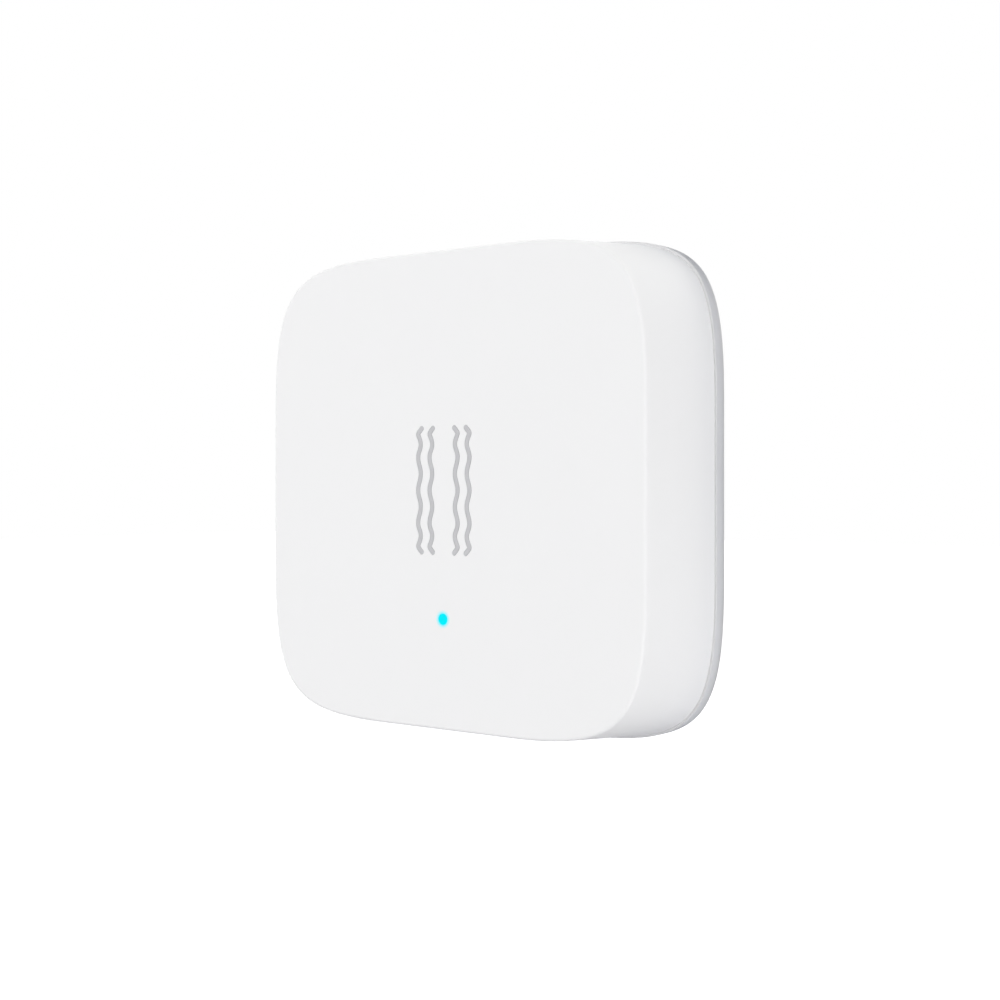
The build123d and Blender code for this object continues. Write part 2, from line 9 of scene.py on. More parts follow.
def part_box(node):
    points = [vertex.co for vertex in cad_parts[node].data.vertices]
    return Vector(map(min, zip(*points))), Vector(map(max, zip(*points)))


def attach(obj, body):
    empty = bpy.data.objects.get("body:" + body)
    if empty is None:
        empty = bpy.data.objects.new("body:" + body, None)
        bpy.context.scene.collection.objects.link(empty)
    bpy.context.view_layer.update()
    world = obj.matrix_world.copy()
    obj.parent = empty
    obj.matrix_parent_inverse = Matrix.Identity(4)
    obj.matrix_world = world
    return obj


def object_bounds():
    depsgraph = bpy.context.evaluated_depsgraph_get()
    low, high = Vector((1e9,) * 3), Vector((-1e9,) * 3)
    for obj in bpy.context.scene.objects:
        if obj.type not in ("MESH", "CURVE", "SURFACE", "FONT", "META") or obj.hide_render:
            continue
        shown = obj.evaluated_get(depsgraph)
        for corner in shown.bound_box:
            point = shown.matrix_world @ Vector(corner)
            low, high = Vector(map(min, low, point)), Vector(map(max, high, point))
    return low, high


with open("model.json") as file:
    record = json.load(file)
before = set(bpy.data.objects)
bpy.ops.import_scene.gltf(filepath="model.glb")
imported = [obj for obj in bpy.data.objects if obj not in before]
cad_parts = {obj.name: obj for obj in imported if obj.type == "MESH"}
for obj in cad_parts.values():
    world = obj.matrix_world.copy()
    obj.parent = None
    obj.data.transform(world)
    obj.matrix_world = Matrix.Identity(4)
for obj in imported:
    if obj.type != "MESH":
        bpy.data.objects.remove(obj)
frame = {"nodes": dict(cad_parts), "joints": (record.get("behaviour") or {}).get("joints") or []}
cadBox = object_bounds()
nodes = frame["nodes"]

# The script's lengths are millimetres, and mm turns them to the metres of the frame.
# The tag's face looks along -Y, its back along +Y, Z is up.
mm = 0.001
faceHeight = -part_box("front_shell")[0].y
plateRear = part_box("base_plate")[1].y
lampCentre = sum(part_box("light_pipe"), Vector()) / 2
doorJoint = next(joint for joint in frame["joints"] if joint["name"] == "battery_door_turn")
doorTurn = doorJoint["range_deg"][1]
cloudDetail, grainDetail = 3, 2  # octaves of finer noise in a finish's clouds and in its grain
sideways = 0.5  # a face whose normal has less Y than this is an edge, not a front or a back
print("frame loaded:", len(nodes), "nodes")


def linear(hexColour):
    # an sRGB hex value as linear RGBA
    parts = [int(hexColour[i:i + 2], 16) / 255 for i in (1, 3, 5)]
    return [p / 12.92 if p <= 0.04045 else ((p + 0.055) / 1.055) ** 2.4 for p in parts] + [1]


def addNode(tree, kind, settings=None, links=None):
    # settings are inputs by name or number, or else the node's own options
    made = tree.nodes.new(kind)
    for name, value in (settings or {}).items():
        if isinstance(name, int) or name in made.inputs:
            made.inputs[name].default_value = value
        else:
            setattr(made, name, value)
    for name, source in (links or {}).items():
        tree.links.new(source, made.inputs[name])
    return made


def startMaterial(name, settings):
    # a Principled material, with the object's own coordinates to hang patterns on
    made = bpy.data.materials.new(name)
    made.use_nodes = True
    tree = made.node_tree
    shader = tree.nodes["Principled BSDF"]
    for key, value in settings.items():
        shader.inputs[key].default_value = value
    coordinates = addNode(tree, "ShaderNodeTexCoord").outputs
    return made, tree, shader, coordinates


def grainOn(tree, shader, coordinates, look):
    # uneven colour, roughness and height; sizes in the look are millimetres
    cloud = addNode(tree, "ShaderNodeTexNoise",
                    {"Scale": 1 / (look["cloud"] * mm), "Detail": cloudDetail},
                    {"Vector": coordinates["Object"]})
    colour = addNode(tree, "ShaderNodeMix",
                     {"data_type": "RGBA", 6: linear(look["colour"]), 7: linear(look["shade"])},
                     {0: cloud.outputs["Fac"]})
    grain = addNode(tree, "ShaderNodeTexNoise",
                    {"Scale": 1 / (look["grain"] * mm), "Detail": grainDetail},
                    {"Vector": coordinates["Object"]})
    rough = addNode(tree, "ShaderNodeMapRange",
                    {"To Min": look["roughness"] - look["roughSpread"],
                     "To Max": look["roughness"] + look["roughSpread"]},
                    {"Value": grain.outputs["Fac"]})
    bump = addNode(tree, "ShaderNodeBump", {"Strength": 1, "Distance": look["depth"] * mm},
                   {"Height": grain.outputs["Fac"]})
    tree.links.new(colour.outputs[2], shader.inputs["Base Color"])
    tree.links.new(rough.outputs["Result"], shader.inputs["Roughness"])
    tree.links.new(bump.outputs["Normal"], shader.inputs["Normal"])
    return {"colour": colour.outputs[2], "normal": bump.outputs["Normal"]}


def onEdges(tree, coordinates):
    # 1 where a sheet's surface looks sideways, 0 on its front and back
    facing = addNode(tree, "ShaderNodeSeparateXYZ", {}, {"Vector": coordinates["Normal"]})
    flat = addNode(tree, "ShaderNodeMath", {"operation": "ABSOLUTE"}, {0: facing.outputs["Y"]})
    edge = addNode(tree, "ShaderNodeMath", {"operation": "LESS_THAN", 1: sideways},
                   {0: flat.outputs[0]})
    return edge.outputs[0]


def evenFinish(name, look):
    # plastics and ink that look the same all over
    made, tree, shader, coordinates = startMaterial(name, {"IOR": look["ior"]})
    grainOn(tree, shader, coordinates, look)
    return made


def evenMetal(name, look):
    made, tree, shader, coordinates = startMaterial(name, {"Metallic": 1})
    grainOn(tree, shader, coordinates, look)
    return made


def dress(material, *names):
    # gives CAD nodes their finish
    for name in names:
        for place in nodes[name].material_slots:
            place.material = material


def linkPiece(name, mesh):
    piece = bpy.data.objects.new(name, mesh)
    bpy.context.scene.collection.objects.link(piece)
    return piece


# White ABS from a fine spark-eroded mould: an even satin without clear reflections.
# Round the light pipe, the lamp's light is painted on it as a soft cyan ring, in its colour and as
# a glow.
shellLook = {
    "ior": 1.53, "specular": 0.35, "colour": "#F3F3F3", "shade": "#F2F2F2", "cloud": 9,
    "grain": 0.14, "depth": 0.0012, "roughness": 0.55, "roughSpread": 0.05,
    "glow": "#18EDFB", "glowInner": 0.36, "glowOuter": 0.92, "glowStrength": 0.1,
}


def mouldedAbs():
    made, tree, shader, coordinates = startMaterial(
        "whiteMouldedAbs",
        {"IOR": shellLook["ior"], "Specular IOR Level": shellLook["specular"],
         "Emission Strength": shellLook["glowStrength"]})
    ground = grainOn(tree, shader, coordinates, shellLook)
    centre = addNode(tree, "ShaderNodeMapping",
                     {"Location": (-lampCentre.x, 0, -lampCentre.z), "Scale": (1, 0, 1)},
                     {"Vector": coordinates["Object"]})
    reach = addNode(tree, "ShaderNodeVectorMath", {"operation": "LENGTH"},
                    {0: centre.outputs["Vector"]})
    # painted lamp light: a ring mask, 1 next to the light pipe and 0 beyond glowOuter
    ring = addNode(tree, "ShaderNodeMapRange",
                   {"interpolation_type": "SMOOTHSTEP", "From Min": shellLook["glowInner"] * mm,
                    "From Max": shellLook["glowOuter"] * mm, "To Min": 1, "To Max": 0},
                   {"Value": reach.outputs["Value"]})
    # the painted ring of lamp light tints the base colour cyan and glows
    paintedGlowColour = addNode(tree, "ShaderNodeMix", {"data_type": "RGBA", 7: linear(shellLook["glow"])},
                     {0: ring.outputs["Result"], 6: ground["colour"]})
    glow = addNode(tree, "ShaderNodeMix",
                   {"data_type": "RGBA", 6: (0, 0, 0, 1), 7: linear(shellLook["glow"])},
                   {0: ring.outputs["Result"]})
    tree.links.new(paintedGlowColour.outputs[2], shader.inputs["Base Color"])
    tree.links.new(glow.outputs[2], shader.inputs["Emission Color"])
    return made


# Light grey ABS: the same moulding resin with pigment, from a coarser mould, so its grain shows
# more. The door is a shade darker, and the button's cap darker still and smoother.
plateLook = {
    "ior": 1.53, "colour": "#E0E0E0", "shade": "#DDDDDE", "cloud": 7,
    "grain": 0.16, "depth": 0.002, "roughness": 0.55, "roughSpread": 0.06,
}
doorLook = {**plateLook, "colour": "#DDDDDD", "shade": "#DADADB", "roughness": 0.52}
keyLook = {**plateLook, "colour": "#D4D4D4", "shade": "#D1D1D2", "grain": 0.1, "roughness": 0.42}

# Closed-cell polyethylene foam, cut by a die: small open cells on the cut edge,
# and a skin of clear acrylic adhesive on its two faces that makes them smoother.
padLook = {
    "ior": 1.48, "colour": "#DFDFDB", "shade": "#D6D6D1", "cloud": 5,
    "grain": 0.3, "depth": 0.01, "roughness": 0.62, "roughSpread": 0.08,
    "cell": 0.28, "cellDepth": 0.07, "skinRoughness": 0.34,
}


def adhesiveFoam():
    made, tree, shader, coordinates = startMaterial("whiteAdhesiveFoam", {"IOR": padLook["ior"]})
    grainOn(tree, shader, coordinates, padLook)
    cells = addNode(tree, "ShaderNodeTexVoronoi", {"Scale": 1 / (padLook["cell"] * mm)},
                    {"Vector": coordinates["Object"]})
    edge = onEdges(tree, coordinates)
    depth = addNode(tree, "ShaderNodeMath", {"operation": "MULTIPLY"},
                    {0: cells.outputs["Distance"], 1: edge})
    bump = addNode(tree, "ShaderNodeBump", {"Strength": 1, "Distance": padLook["cellDepth"] * mm},
                   {"Height": depth.outputs["Value"]})
    rough = addNode(tree, "ShaderNodeMix",
                    {"data_type": "FLOAT", 2: padLook["skinRoughness"], 3: padLook["roughness"]},
                    {0: edge})
    tree.links.new(bump.outputs["Normal"], shader.inputs["Normal"])
    tree.links.new(rough.outputs[0], shader.inputs["Roughness"])
    return made


# Milky polycarbonate, lit from behind: the lamp's colour shows, and the room hardly does.
pipeLook = {
    "ior": 1.585, "specular": 0.02, "body": "#04181C", "lit": "#00F2FF",
    "roughness": 0.4, "strength": 0.96,
}


def litPolycarbonate():
    settings = {
        "Base Color": linear(pipeLook["body"]), "Roughness": pipeLook["roughness"],
        "IOR": pipeLook["ior"], "Specular IOR Level": pipeLook["specular"],
        "Emission Color": linear(pipeLook["lit"]), "Emission Strength": pipeLook["strength"],
    }
    return startMaterial("litPolycarbonate", settings)[0]


plateAbs = evenFinish("greyMouldedAbs", plateLook)
doorAbs = evenFinish("greyDoorAbs", doorLook)
dress(mouldedAbs(), "front_shell")
dress(plateAbs, "base_plate")
dress(doorAbs, "battery_door")
dress(evenFinish("greyKeyAbs", keyLook), "reset_button")
dress(adhesiveFoam(), "adhesive_pad")
dress(litPolycarbonate(), "light_pipe")
print("outside dressed")


# The coin cell's can and cap: nickel-plated steel, deep drawn. A warm satin metal, with fine
# rings that the punch left round its middle.
cellLook = {
    "colour": "#C8C5BE", "shade": "#B9B5AD", "cloud": 4,
    "grain": 0.08, "depth": 0.001, "roughness": 0.3, "roughSpread": 0.06,
    "ring": 0.3, "ringDepth": 0.002,
}
waveTurn = 0.314  # Blender's wave repeats after this much of its scaled coordinate


def drawnNickel():
    made, tree, shader, coordinates = startMaterial("drawnNickel", {"Metallic": 1})
    ground = grainOn(tree, shader, coordinates, cellLook)
    rings = addNode(tree, "ShaderNodeTexWave",
                    {"wave_type": "RINGS", "rings_direction": "Y",
                     "Scale": waveTurn / (cellLook["ring"] * mm)},
                    {"Vector": coordinates["Object"]})
    bump = addNode(tree, "ShaderNodeBump", {"Strength": 1, "Distance": cellLook["ringDepth"] * mm},
                   {"Height": rings.outputs["Fac"], "Normal": ground["normal"]})
    tree.links.new(bump.outputs["Normal"], shader.inputs["Normal"])
    return made


# Its sealing ring: nylon with soot, a dark satin
gasketLook = {
    "ior": 1.53, "colour": "#2B2B2D", "shade": "#242426", "cloud": 3,
    "grain": 0.12, "depth": 0.002, "roughness": 0.45, "roughSpread": 0.05,
}
# Its inside: pressed metal oxide powder, dead matt and crumbly
coreLook = {
    "ior": 1.45, "colour": "#3A3937", "shade": "#2E2D2C", "cloud": 2,
    "grain": 0.1, "depth": 0.03, "roughness": 0.9, "roughSpread": 0.06,
}
# The chips: black epoxy from a spark-eroded mould, fine-grained and matt
chipLook = {
    "ior": 1.55, "colour": "#1F1F21", "shade": "#1A1A1C", "cloud": 2,
    "grain": 0.09, "depth": 0.006, "roughness": 0.55, "roughSpread": 0.08,
}
# The switch's case: black glass-filled nylon, with its short fibres near the surface
switchLook = {
    "ior": 1.53, "colour": "#242527", "shade": "#1C1D1F", "cloud": 1.5,
    "grain": 0.12, "depth": 0.004, "roughness": 0.5, "roughSpread": 0.1,
}
# Its plunger: white acetal, slippery and a little waxy
plungerLook = {
    "ior": 1.48, "colour": "#E4E2DA", "shade": "#DEDCD3", "cloud": 2,
    "grain": 0.12, "depth": 0.002, "roughness": 0.36, "roughSpread": 0.05,
}
# The screws: zinc-plated steel, bright with a cold tint
screwLook = {
    "colour": "#C3C7CB", "shade": "#AEB3B9", "cloud": 1,
    "grain": 0.07, "depth": 0.003, "roughness": 0.28, "roughSpread": 0.08,
}
# Legs, terminals and the switch's cover: brass or steel dipped in tin, soft grey and uneven
tinLook = {
    "colour": "#CFCFCD", "shade": "#B8B9B8", "cloud": 0.8,
    "grain": 0.1, "depth": 0.004, "roughness": 0.34, "roughSpread": 0.1,
}

# The cell's contacts: nickel-plated spring strip, with the lines of its rolling along it
springLook = {
    "colour": "#CBC7BD", "shade": "#BDB8AD", "cloud": 3,
    "grain": 0.1, "depth": 0.001, "roughness": 0.26, "roughSpread": 0.05,
    "line": 0.06, "lineLength": 1.5, "lineDepth": 0.002, "lineDetail": 1,
}


def rolledNickel():
    made, tree, shader, coordinates = startMaterial("rolledNickel", {"Metallic": 1})
    ground = grainOn(tree, shader, coordinates, springLook)
    across, along = 1 / (springLook["line"] * mm), 1 / (springLook["lineLength"] * mm)
    drawn = addNode(tree, "ShaderNodeMapping", {"Scale": (along, along, across)},
                    {"Vector": coordinates["Object"]})
    lines = addNode(tree, "ShaderNodeTexNoise", {"Scale": 1, "Detail": springLook["lineDetail"]},
                    {"Vector": drawn.outputs["Vector"]})
    bump = addNode(tree, "ShaderNodeBump",
                   {"Strength": 1, "Distance": springLook["lineDepth"] * mm},
                   {"Height": lines.outputs["Fac"], "Normal": ground["normal"]})
    tree.links.new(bump.outputs["Normal"], shader.inputs["Normal"])
    return made


# The board: glass-epoxy laminate under green solder mask. Copper tracks raise the mask and show
# through it, plated holes stand in a grid, and the sawn edge is bare, pale and fibrous.
boardLook = {
    "ior": 1.5, "colour": "#1D6A3A", "shade": "#195F34", "cloud": 4,
    "grain": 0.2, "depth": 0.001, "roughness": 0.32, "roughSpread": 0.04,
    "track": "#2C8650", "trackWidth": 0.22, "trackRow": 1.27, "trackRun": 5.4, "trackRise": 0.035,
    "trackStagger": 0.37, "trackSquash": 0.6, "squashRows": 3, "trackSoft": 0.2,
    "hole": 0.3, "holePitch": 2.54, "holeColour": "#C8A552", "edge": "#C6B88C",
}


def maskedLaminate():
    made, tree, shader, coordinates = startMaterial("maskedLaminate", {"IOR": boardLook["ior"]})
    ground = grainOn(tree, shader, coordinates, boardLook)
    # the patterns lie in the plane of the board
    laid = addNode(tree, "ShaderNodeMapping", {"Rotation": (math.pi / 2, 0, 0)},
                   {"Vector": coordinates["Object"]}).outputs["Vector"]
    row = boardLook["trackRow"] * mm
    tracks = addNode(tree, "ShaderNodeTexBrick",
                     {"offset": boardLook["trackStagger"], "squash": boardLook["trackSquash"],
                      "squash_frequency": boardLook["squashRows"], "Scale": 1 / row,
                      "Mortar Size": boardLook["trackWidth"] / boardLook["trackRow"] / 2,
                      "Mortar Smooth": boardLook["trackSoft"],
                      "Brick Width": boardLook["trackRun"] / boardLook["trackRow"],
                      "Row Height": 1},
                     {"Vector": laid}).outputs["Fac"]
    holes = addNode(tree, "ShaderNodeTexVoronoi",
                    {"voronoi_dimensions": "2D", "Randomness": 0,
                     "Scale": 1 / (boardLook["holePitch"] * mm)},
                    {"Vector": laid})
    plated = addNode(tree, "ShaderNodeMath",
                     {"operation": "LESS_THAN", 1: boardLook["hole"] / boardLook["holePitch"]},
                     {0: holes.outputs["Distance"]})
    masked = addNode(tree, "ShaderNodeMix", {"data_type": "RGBA", 7: linear(boardLook["track"])},
                     {0: tracks, 6: ground["colour"]})
    drilled = addNode(tree, "ShaderNodeMix",
                      {"data_type": "RGBA", 7: linear(boardLook["holeColour"])},
                      {0: plated.outputs[0], 6: masked.outputs[2]})
    sawn = addNode(tree, "ShaderNodeMix", {"data_type": "RGBA", 7: linear(boardLook["edge"])},
                   {0: onEdges(tree, coordinates), 6: drilled.outputs[2]})
    bump = addNode(tree, "ShaderNodeBump",
                   {"Strength": 1, "Distance": boardLook["trackRise"] * mm},
                   {"Height": tracks, "Normal": ground["normal"]})
    tree.links.new(sawn.outputs[2], shader.inputs["Base Color"])
    tree.links.new(bump.outputs["Normal"], shader.inputs["Normal"])
    return made


# The antenna: copper track under the same mask, so it is green with the copper's warmth in it
antennaLook = {
    "ior": 1.5, "colour": "#4B8A45", "shade": "#42803F", "cloud": 2,
    "grain": 0.15, "depth": 0.002, "roughness": 0.3, "roughSpread": 0.04,
}

# Chip capacitors and resistors: a fired ceramic body with tinned ends. Along X each chip repeats
# with the pitch of its row.
capacitorLook = {
    "ior": 1.6, "colour": "#A98B68", "shade": "#9C7F5E", "cloud": 0.6,
    "grain": 0.08, "depth": 0.002, "roughness": 0.5, "roughSpread": 0.06,
}
resistorLook = {
    "ior": 1.6, "colour": "#1B1C20", "shade": "#151619", "cloud": 0.6,
    "grain": 0.08, "depth": 0.002, "roughness": 0.35, "roughSpread": 0.06,
}
chipEnds = {"length": 1.0, "pitch": 1.8, "band": 0.24, "colour": "#CFCFCD"}


def tinnedCeramic(name, look, node):
    made, tree, shader, coordinates = startMaterial(name, {"IOR": look["ior"]})
    ground = grainOn(tree, shader, coordinates, look)
    place = addNode(tree, "ShaderNodeSeparateXYZ", {}, {"Vector": coordinates["Object"]})
    # distance from the middle of the nearest chip
    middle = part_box(node)[0].x + chipEnds["length"] / 2 * mm
    pitch = chipEnds["pitch"] * mm
    shifted = addNode(tree, "ShaderNodeMath", {"operation": "SUBTRACT", 1: middle - pitch / 2},
                      {0: place.outputs["X"]})
    inRow = addNode(tree, "ShaderNodeMath", {"operation": "FLOORED_MODULO", 1: pitch},
                    {0: shifted.outputs[0]})
    fromMiddle = addNode(tree, "ShaderNodeMath", {"operation": "SUBTRACT", 1: pitch / 2},
                         {0: inRow.outputs[0]})
    away = addNode(tree, "ShaderNodeMath", {"operation": "ABSOLUTE"}, {0: fromMiddle.outputs[0]})
    untinned = (chipEnds["length"] / 2 - chipEnds["band"]) * mm
    onEnd = addNode(tree, "ShaderNodeMath", {"operation": "GREATER_THAN", 1: untinned},
                    {0: away.outputs[0]})
    tinned = addNode(tree, "ShaderNodeMix", {"data_type": "RGBA", 7: linear(chipEnds["colour"])},
                     {0: onEnd.outputs[0], 6: ground["colour"]})
    tree.links.new(tinned.outputs[2], shader.inputs["Base Color"])
    tree.links.new(onEnd.outputs[0], shader.inputs["Metallic"])
    return made


# Two-layer parts, split at a depth from their front: the crystal has a nickel lid on a dark
# ceramic tray, and the lamp a resin lens, painted pale cyan as its lit colour, on a white laminate
# foot.
crystalLook = {
    "ior": 1.53, "colour": "#35312E", "shade": "#2C2927", "cloud": 0.8,
    "grain": 0.1, "depth": 0.004, "roughness": 0.6, "roughSpread": 0.06,
    "top": "#D2CDBF", "topDepth": 0.2625, "metal": 1,
}
lampLook = {
    "ior": 1.53, "colour": "#E8E6DF", "shade": "#DFDDD5", "cloud": 0.6,
    "grain": 0.1, "depth": 0.004, "roughness": 0.5, "roughSpread": 0.06,
    # the lens's pale cyan is the lit lamp's light, painted into its colour
    "top": "#9FF4FA", "topDepth": 0.35, "metal": 0,
}


def twoLayers(name, look, node):
    made, tree, shader, coordinates = startMaterial(name, {"IOR": look["ior"]})
    ground = grainOn(tree, shader, coordinates, look)
    place = addNode(tree, "ShaderNodeSeparateXYZ", {}, {"Vector": coordinates["Object"]})
    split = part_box(node)[0].y + look["topDepth"] * mm
    onTop = addNode(tree, "ShaderNodeMath", {"operation": "LESS_THAN", 1: split},
                    {0: place.outputs["Y"]})
    capped = addNode(tree, "ShaderNodeMix", {"data_type": "RGBA", 7: linear(look["top"])},
                     {0: onTop.outputs[0], 6: ground["colour"]})
    tree.links.new(capped.outputs[2], shader.inputs["Base Color"])
    if look["metal"]:
        tree.links.new(onTop.outputs[0], shader.inputs["Metallic"])
    return made


dress(drawnNickel(), "cell_can", "cell_cap")
dress(evenFinish("darkNylon", gasketLook), "cell_gasket")
dress(evenFinish("pressedPowder", coreLook), "cell_core")
dress(evenFinish("blackEpoxy", chipLook), "radio_chip", "memory_chip", "motion_sensor_chip")
dress(evenFinish("glassFilledNylon", switchLook), "switch_case")
dress(evenFinish("whiteAcetal", plungerLook), "switch_plunger")
dress(evenMetal("zincPlatedSteel", screwLook), "board_screws")
dress(evenMetal("dippedTin", tinLook), "memory_chip_legs", "switch_cover", "switch_terminals")
dress(rolledNickel(), "positive_contact", "negative_contact")
dress(maskedLaminate(), "circuit_board")
dress(evenFinish("maskedCopper", antennaLook), "antenna")
dress(tinnedCeramic("capacitorCeramic", capacitorLook, "chip_capacitors"), "chip_capacitors")
dress(tinnedCeramic("resistorCeramic", resistorLook, "chip_resistors"), "chip_resistors")
dress(twoLayers("crystalCan", crystalLook, "crystal"), "crystal")
dress(twoLayers("lampResin", lampLook, "indicator_led"), "indicator_led")
print("inside dressed")


# Printed mark in the middle of the face: four wavy strokes, in mirrored pairs. Pad-printed
# two-part ink, a thin satin film that is a little darker where it pools.
markLook = {
    "means": (2.91, 1.52), "swing": 0.16,  # middle of each stroke from the centre line, its wave
    "outward": (0, 3.1, 5.2), "inward": (1.5, 4.27),  # heights of the crests and the troughs
    "end": 5.73, "endInwards": (0.27, 0.24), "kink": 0.14,  # the hook at each end, and its bend
    "offset": (0.07, -0.04),  # of the whole mark, from the middle of the face
    "stroke": 0.5, "film": 0.012, "capSteps": 5, "roundSteps": 2, "waveSteps": 8,
    "tipShare": 0.02, "merge": 0.0001,  # the width left at a tip, and how near points are joined
    "ior": 1.5, "colour": "#C6C6C8", "shade": "#C3C3C6", "cloud": 2,
    "grain": 0.12, "depth": 0.002, "roughness": 0.5, "roughSpread": 0.06,
}


def waveLine(side, mean, endInwards):
    # points of one stroke's middle, from its lower end to its upper end
    crests = [(v, mean + markLook["swing"]) for v in markLook["outward"]]
    troughs = [(v, mean - markLook["swing"]) for v in markLook["inward"]]
    half = sorted(crests + troughs)
    line = [(-v, u) for v, u in reversed(half)] + half[1:]
    end = (markLook["end"], mean - endInwards)
    right, up = markLook["offset"]
    return [Vector((side * u + right, 0, v + up)) for v, u in [(-end[0], end[1]), *line, end]]


def roundEnds(points):
    # each place along a stroke with its share of the width: a quarter circle rounds both ends
    radius, steps = markLook["stroke"] / 2, markLook["capSteps"]
    turns = [math.pi / 2 * step / steps for step in range(steps + 1)]
    ends = []
    for tip, near in ((points[0], points[1]), (points[-1], points[-2])):
        along = (near - tip).normalized()
        ends.append([(tip - along * radius * math.cos(a), math.sin(a)) for a in turns])
    return ends[0] + [(p, 1) for p in points[1:-1]] + ends[1][::-1]


def pressFlat(mesh):
    # the tube becomes a film of ink, half sunk in the face, with its seam and its ends closed
    flatter = mm * 2 * markLook["film"] / markLook["stroke"]
    mesh.transform(Matrix.Translation((0, -faceHeight, 0)) @ Matrix.Diagonal((mm, flatter, mm, 1)))
    work = bmesh.new()
    work.from_mesh(mesh)
    bmesh.ops.remove_doubles(work, verts=work.verts, dist=markLook["merge"] * mm)
    bmesh.ops.holes_fill(work, edges=[e for e in work.edges if e.is_boundary])
    bmesh.ops.recalc_face_normals(work, faces=work.faces)
    for face in work.faces:
        face.smooth = True
    work.to_mesh(mesh)
    work.free()


def waveStroke(name, side, mean, endInwards):
    row = roundEnds(waveLine(side, mean, endInwards))
    curve = bpy.data.curves.new(name, "CURVE")
    curve.dimensions = "3D"
    curve.bevel_depth = markLook["stroke"] / 2
    curve.bevel_resolution = markLook["roundSteps"]
    curve.resolution_u = markLook["waveSteps"]
    spline = curve.splines.new("BEZIER")
    spline.bezier_points.add(len(row) - 1)
    for point, (place, share) in zip(spline.bezier_points, row):
        point.co = place
        point.radius = max(share, markLook["tipShare"])
        point.handle_left_type = point.handle_right_type = "AUTO"
    # the last crests are tighter than the rest
    last = markLook["capSteps"] + 1
    for point in (spline.bezier_points[last], spline.bezier_points[-last - 1]):
        point.handle_left_type = point.handle_right_type = "FREE"
        point.handle_left = point.co - Vector((0, 0, markLook["kink"]))
        point.handle_right = point.co + Vector((0, 0, markLook["kink"]))
    tube = bpy.data.objects.new(name, curve)
    bpy.context.scene.collection.objects.link(tube)
    bpy.context.view_layer.update()
    graph = bpy.context.evaluated_depsgraph_get()
    mesh = bpy.data.meshes.new_from_object(tube.evaluated_get(graph))
    bpy.data.objects.remove(tube)
    pressFlat(mesh)
    return linkPiece(name, mesh)


def printMark():
    ink = evenFinish("greyPadInk", markLook)
    rows = list(zip(("outer", "inner"), markLook["means"], markLook["endInwards"]))
    for sideName, side in (("left", -1), ("right", 1)):
        for rowName, mean, endInwards in rows:
            stroke = waveStroke(f"wave_{sideName}_{rowName}", side, mean, endInwards)
            stroke.data.materials.append(ink)
            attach(stroke, "housing")


printMark()
print("mark printed")


# Moulded marks on the back, in the pad's window. Two arrows round the coin slot show which way
# the door opens. A tooth on its rim points at a full dot when it is shut, and at a ring when it
# is open. The sizes of the tooth, dot and ring are radii.
backLook = {
    "rise": 0.22, "foot": 0.06, "rounding": 0.05, "roundSteps": 2,
    "arrowRadius": 9.3, "arrowWidth": 0.7, "arrowSteps": 18, "headWidth": 2.2,
    "arrowFrom": -32, "arrowTurn": 50, "headTurn": 13,  # degrees round the door
    "toothRadius": 12.0, "toothSize": 0.62, "toothSides": 3,
    "markRadius": 13.76, "dotSize": 0.42, "ringSize": 0.48, "ringWall": 0.2, "markSteps": 28,
}


def onBack(radius, degrees):
    # a place just under the rear face, that far round from the top towards +X, for shapes in XY
    turned = Matrix.Rotation(math.radians(degrees), 4, "Y")
    flat = Matrix.Translation((0, plateRear - backLook["foot"] * mm, radius * mm))
    return turned @ flat @ Matrix.Rotation(math.pi / 2, 4, "X")


def raiseMark(name, work, body, material):
    # the flat shape grows out of the wall, and the edge round its top is eased
    bmesh.ops.recalc_face_normals(work, faces=work.faces)
    drawn = bmesh.ops.extrude_face_region(work, geom=work.faces[:])["geom"]
    top = [v for v in drawn if isinstance(v, bmesh.types.BMVert)]
    bmesh.ops.translate(work, verts=top, vec=(0, (backLook["rise"] + backLook["foot"]) * mm, 0))
    bmesh.ops.recalc_face_normals(work, faces=work.faces)
    rim = [e for e in work.edges if all(v in top for v in e.verts)
           and min(abs(f.normal.y) for f in e.link_faces) < sideways]
    bmesh.ops.bevel(work, geom=rim, offset=backLook["rounding"] * mm,
                    segments=backLook["roundSteps"], profile=0.5, affect="EDGES", material=-1)
    mesh = bpy.data.meshes.new(name)
    work.to_mesh(mesh)
    work.free()
    mesh.materials.append(material)
    piece = linkPiece(name, mesh)
    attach(piece, body)


def mouldArrow(name, start):
    work = bmesh.new()
    half = backLook["arrowWidth"] / 2
    middle = backLook["arrowRadius"]
    foot = [work.verts.new(onBack(middle + way * half, start).translation) for way in (-1, 1)]
    edge = work.edges.new(foot)
    sweep = bmesh.ops.spin(work, geom=[*foot, edge], cent=(0, 0, 0), axis=(0, 1, 0),
                           angle=math.radians(backLook["arrowTurn"]), steps=backLook["arrowSteps"])
    neck = [v for v in sweep["geom_last"] if isinstance(v, bmesh.types.BMVert)]
    neck.sort(key=lambda v: Vector((v.co.x, v.co.z)).length)
    end = start + backLook["arrowTurn"]
    reach = backLook["headWidth"] / 2
    barbs = [work.verts.new(onBack(middle + way * reach, end).translation) for way in (-1, 1)]
    tip = work.verts.new(onBack(middle, end + backLook["headTurn"]).translation)
    work.faces.new([neck[0], barbs[0], tip, barbs[1], neck[1]])
    raiseMark(name, work, "battery_door", doorAbs)


def startDisc(size, sides, radius, degrees):
    work = bmesh.new()
    bmesh.ops.create_circle(work, cap_ends=True, radius=size * mm, segments=sides,
                            matrix=onBack(radius, degrees))
    return work


